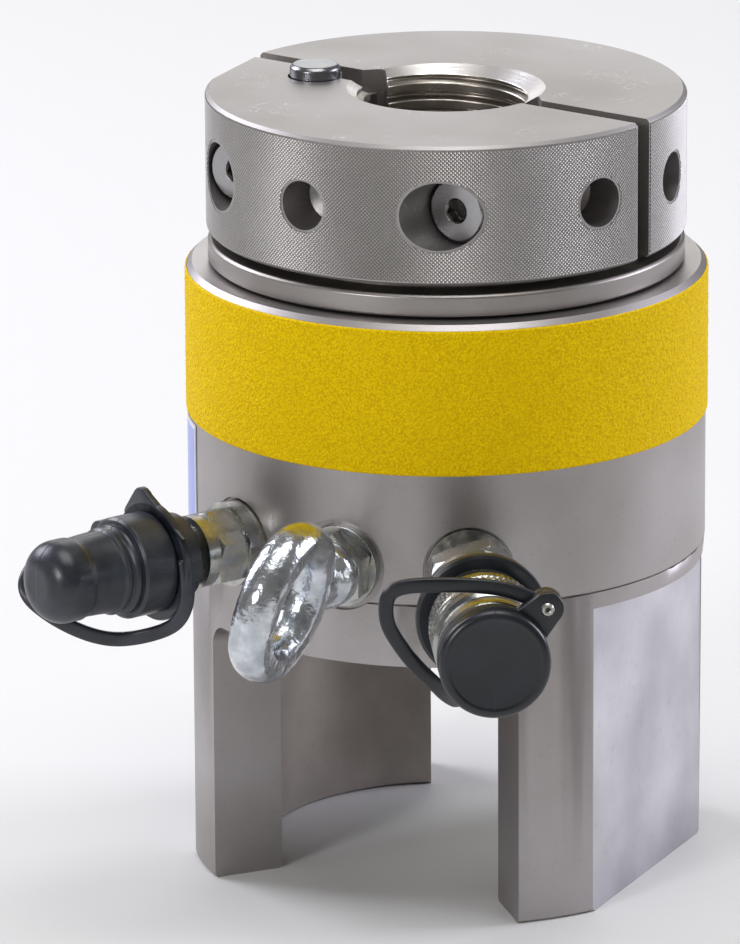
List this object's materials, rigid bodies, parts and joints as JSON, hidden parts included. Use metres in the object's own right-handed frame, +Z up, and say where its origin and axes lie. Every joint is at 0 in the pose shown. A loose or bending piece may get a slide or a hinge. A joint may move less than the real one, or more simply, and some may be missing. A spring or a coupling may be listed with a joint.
{
  "type": "hydraulic bolt tensioner",
  "caption": "Hydraulic bolt tensioner with a hinged split nut, grip band, open bridge, two capped couplings and a lifting eye.",
  "frame": {"origin": "centre of the bridge's base, on the bolt axis", "axes": "+Z up along the bolt axis, -Y to the front window and the lifting eye, +X to the right"},
  "size_m": [0.174, 0.2242, 0.232],
  "materials": {
    "bare_steel": "satin turned",
    "bright_steel": "polished",
    "dark_steel": "blackened",
    "spring_steel": "satin",
    "zinc_plate": "bright plated",
    "yellow_grip": "coarse grit",
    "blue_label": "satin",
    "cap_rubber": "satin",
    "seal_rubber": "satin",
    "seal_plastic": "matte"
  },
  "bodies": {
    "cylinder": {"bridge": "bare_steel", "bridge_screws": "dark_steel", "cylinder": "bare_steel", "wiper": "seal_plastic", "spring_retainer": "bright_steel", "return_spring": "spring_steel", "grip_band": "yellow_grip", "label_plate": "blue_label", "left_port_seal": "bright_steel", "right_port_seal": "bright_steel", "left_nipple": "zinc_plate", "left_poppet_spring": "spring_steel", "left_strap": "cap_rubber", "right_adapter": "zinc_plate", "coupler_body": "zinc_plate", "coupler_balls": "bright_steel", "sleeve_spring": "spring_steel", "coupler_poppet_spring": "spring_steel", "right_strap": "cap_rubber", "eye_bolt": "zinc_plate", "eye_nut": "zinc_plate", "eye_washer": "zinc_plate"},
    "piston": {"piston": "bright_steel", "thrust_ring": "bare_steel", "thrust_ring_screws": "dark_steel", "outer_seal": "seal_rubber", "outer_backup": "seal_plastic", "inner_seal": "seal_rubber", "inner_backup": "seal_plastic"},
    "rear_nut": {"rear_nut_half": "bare_steel"},
    "front_nut": {"front_nut_half": "bare_steel", "hinge_pin": "bright_steel", "pin_lock_screw": "bright_steel", "clamp_spring": "spring_steel"},
    "clamp_screw": {"clamp_screw": "bright_steel"},
    "left_cap": {"left_dust_cap": "cap_rubber"},
    "right_cap": {"right_dust_cap": "cap_rubber", "cap_rivet": "bright_steel"},
    "sleeve": {"coupler_sleeve": "zinc_plate"},
    "coupler_valve": {"coupler_poppet": "zinc_plate"},
    "nipple_valve": {"left_poppet": "zinc_plate"}
  },
  "joints": [
    {"name": "piston_stroke", "type": "slide", "parent": "cylinder", "child": "piston", "axis": [0, 0, 1], "range_m": [0, 0.015], "stiffness_N_per_m": 20000, "springref_m": -0.01, "deforming": ["return_spring"]},
    {"name": "nut_spin", "type": "hinge", "parent": "piston", "child": "rear_nut", "pos_m": [0, 0, 0.188], "axis": [0, 0, 1], "continuous": true},
    {"name": "nut_open", "type": "hinge", "parent": "rear_nut", "child": "front_nut", "pos_m": [-0.04008, -0.00242, 0.208], "axis": [0, 0, -1], "range_deg": [0, 10]},
    {"name": "clamp_screw_slide", "type": "slide", "parent": "front_nut", "child": "clamp_screw", "axis": [0.2079, 0.9781, 0], "range_m": [0, 0.016], "stiffness_N_per_m": 300, "springref_m": -0.005, "deforming": ["clamp_spring"]},
    {"name": "left_cap_pull", "type": "slide", "parent": "cylinder", "child": "left_cap", "axis": [-0.4795, -0.8776, 0], "range_m": [0, 0.034], "deforming": ["left_strap"]},
    {"name": "right_cap_pull", "type": "slide", "parent": "cylinder", "child": "right_cap", "axis": [0.4795, -0.8776, 0], "range_m": [0, 0.018], "deforming": ["right_strap"]},
    {"name": "sleeve_pull", "type": "slide", "parent": "cylinder", "child": "sleeve", "axis": [-0.4795, 0.8776, 0], "range_m": [0, 0.004], "stiffness_N_per_m": 2000, "springref_m": -0.004, "deforming": ["sleeve_spring"]},
    {"name": "coupler_valve_push", "type": "slide", "parent": "cylinder", "child": "coupler_valve", "axis": [-0.4795, 0.8776, 0], "range_m": [0, 0.003], "stiffness_N_per_m": 1500, "springref_m": -0.004, "deforming": ["coupler_poppet_spring"]},
    {"name": "nipple_valve_push", "type": "slide", "parent": "cylinder", "child": "nipple_valve", "axis": [0.4795, 0.8776, 0], "range_m": [0, 0.003], "stiffness_N_per_m": 1500, "springref_m": -0.004, "deforming": ["left_poppet_spring"]}
  ]
}
